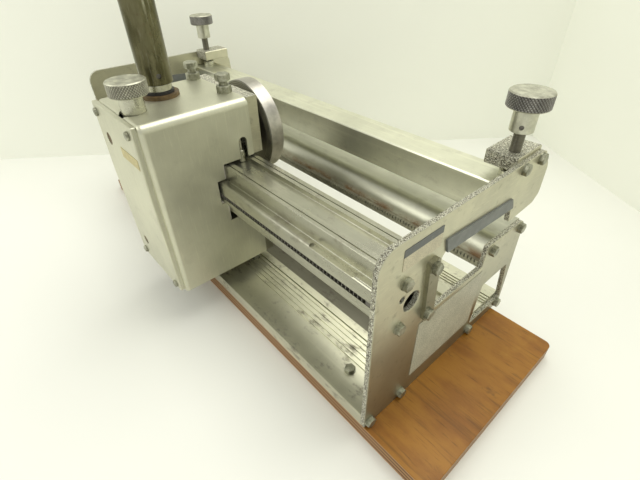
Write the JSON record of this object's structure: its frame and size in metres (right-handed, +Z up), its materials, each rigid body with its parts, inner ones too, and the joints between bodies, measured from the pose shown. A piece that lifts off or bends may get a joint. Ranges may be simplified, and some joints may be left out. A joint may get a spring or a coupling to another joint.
{
  "type": "bench roller lacer",
  "caption": "Bench press with C-shaped end plates, a crank-driven roller head travelling on a rail, and a knurled-screw clamp bar for a belt end, on a plywood board.",
  "frame": {"origin": "underside of the base board, midway between the end plates and midway through their depth", "axes": "+X along the rail to the right end plate, +Y from the crank side towards the clamp, +Z up"},
  "size_m": [0.748, 0.3112, 0.5666],
  "materials": {
    "plywood": "varnished, worn",
    "plate_aluminium": "satin with rough sawn edges",
    "extrusion_aluminium": "mill finish, dusty",
    "cover_sheet": "satin sheet with faint smudges",
    "machined_steel": "turned",
    "knurled_steel": "knurled and dull",
    "zinc_bolt": "zinc plated, tarnished",
    "tube_zinc": "yellowish zinc plate, scratched",
    "dark_steel": "dark oiled steel",
    "strap_steel": "olive grey",
    "edge_rubber": "grey push-on trim",
    "fibre": "brown phenolic",
    "black_rubber": "black",
    "nylon": "plain",
    "bronze": "plain bush bronze",
    "label": "plain label",
    "grip_plastic": "black grip"
  },
  "bodies": {
    "frame": {"base_board": "plywood", "base_extrusion": "extrusion_aluminium", "end_plate_right": "plate_aluminium", "end_plate_left": "plate_aluminium", "front_rail": "extrusion_aluminium", "drive_rack": "dark_steel", "belt_support": "extrusion_aluminium", "comb_strip": "dark_steel", "rail_bolts": "zinc_bolt", "support_bolts": "zinc_bolt", "base_bolts": "zinc_bolt", "clamp_block_bolts": "zinc_bolt", "deck_bolts": "zinc_bolt", "instruction_label_upper": "label", "instruction_label_lower": "label", "edge_trims": "edge_rubber", "throat_straps": "strap_steel", "clamp_blocks": "plate_aluminium"},
    "clamp": {"clamp_bar": "extrusion_aluminium", "swivel_pads": "machined_steel"},
    "screw_right": {"clamp_screw_right": "machined_steel", "clamp_knob_right": "knurled_steel", "set_screw_right": "dark_steel"},
    "screw_left": {"clamp_screw_left": "machined_steel", "clamp_knob_left": "knurled_steel", "set_screw_left": "dark_steel"},
    "head": {"head_cover": "cover_sheet", "front_cover": "cover_sheet", "front_cover_screws": "zinc_bolt", "cover_plugs": "fibre", "head_label": "label", "rear_plate_upper": "plate_aluminium", "rear_plate_lower": "plate_aluminium", "spine_plate": "plate_aluminium", "upper_shelf": "plate_aluminium", "lower_shelf": "plate_aluminium", "shaft_bush_upper": "bronze", "shaft_bush_lower": "bronze", "guide_blocks_upper": "nylon", "guide_blocks_lower": "nylon", "guide_post": "machined_steel", "stop_bolts": "zinc_bolt", "fibre_washer": "fibre", "shaft_seal": "black_rubber", "lower_roller_block": "plate_aluminium", "lower_roller_axle": "machined_steel"},
    "bottom_roller": {"lower_roller": "machined_steel"},
    "lift": {"lift_plate": "plate_aluminium", "upper_roller_block": "plate_aluminium", "upper_roller_axle": "machined_steel"},
    "top_roller": {"upper_roller": "machined_steel"},
    "adjuster": {"adjust_screw": "machined_steel", "adjust_knob": "knurled_steel"},
    "crank": {"drive_shaft": "machined_steel", "drive_pinion": "dark_steel", "crank_tube": "tube_zinc", "crank_pin": "dark_steel", "crank_arm": "tube_zinc", "grip_axle": "machined_steel"},
    "grip": {"crank_grip": "grip_plastic"}
  },
  "joints": [
    {"name": "head_travel", "type": "slide", "parent": "frame", "child": "head", "axis": [1, 0, 0], "range_m": [-0.234, 0.24]},
    {"name": "crank_turn", "type": "hinge", "parent": "head", "child": "crank", "pos_m": [-0.019, -0.119, 0.269], "axis": [0, 0, 1], "range_deg": [-855, 877]},
    {"name": "grip_spin", "type": "hinge", "parent": "crank", "child": "grip", "pos_m": [-0.139, -0.119, 0.517], "axis": [0, 0, 1], "continuous": true},
    {"name": "roller_lift", "type": "slide", "parent": "head", "child": "lift", "axis": [0, 0, 1], "range_m": [-0.004, 0]},
    {"name": "adjuster_turn", "type": "hinge", "parent": "head", "child": "adjuster", "pos_m": [0.011, -0.1595, 0.269], "axis": [0, 0, 1], "range_deg": [-5, 965]},
    {"name": "top_roller_spin", "type": "hinge", "parent": "lift", "child": "top_roller", "pos_m": [0, -0.0215, 0.2073], "axis": [0, 1, 0], "continuous": true},
    {"name": "bottom_roller_spin", "type": "hinge", "parent": "head", "child": "bottom_roller", "pos_m": [0, -0.0215, 0.1151], "axis": [0, 1, 0], "continuous": true},
    {"name": "clamp_travel", "type": "slide", "parent": "frame", "child": "clamp", "axis": [0, 0, 1], "range_m": [-0.018, 0]},
    {"name": "clamp_screw_right_turn", "type": "hinge", "parent": "clamp", "child": "screw_right", "pos_m": [0.2885, 0.078, 0.269], "axis": [0, 0, 1], "range_deg": [-4325, 5]},
    {"name": "clamp_screw_left_turn", "type": "hinge", "parent": "clamp", "child": "screw_left", "pos_m": [-0.2885, 0.078, 0.269], "axis": [0, 0, 1], "range_deg": [-4325, 5]}
  ],
  "couplings": [
    {"joint": "crank_turn", "follows": "head_travel", "rad_per_m": 63.492},
    {"joint": "adjuster_turn", "follows": "roller_lift", "rad_per_m": -4188.8},
    {"joint": "clamp_screw_right_turn", "follows": "clamp_travel", "rad_per_m": 4188.8},
    {"joint": "clamp_screw_left_turn", "follows": "clamp_travel", "rad_per_m": 4188.8}
  ]
}
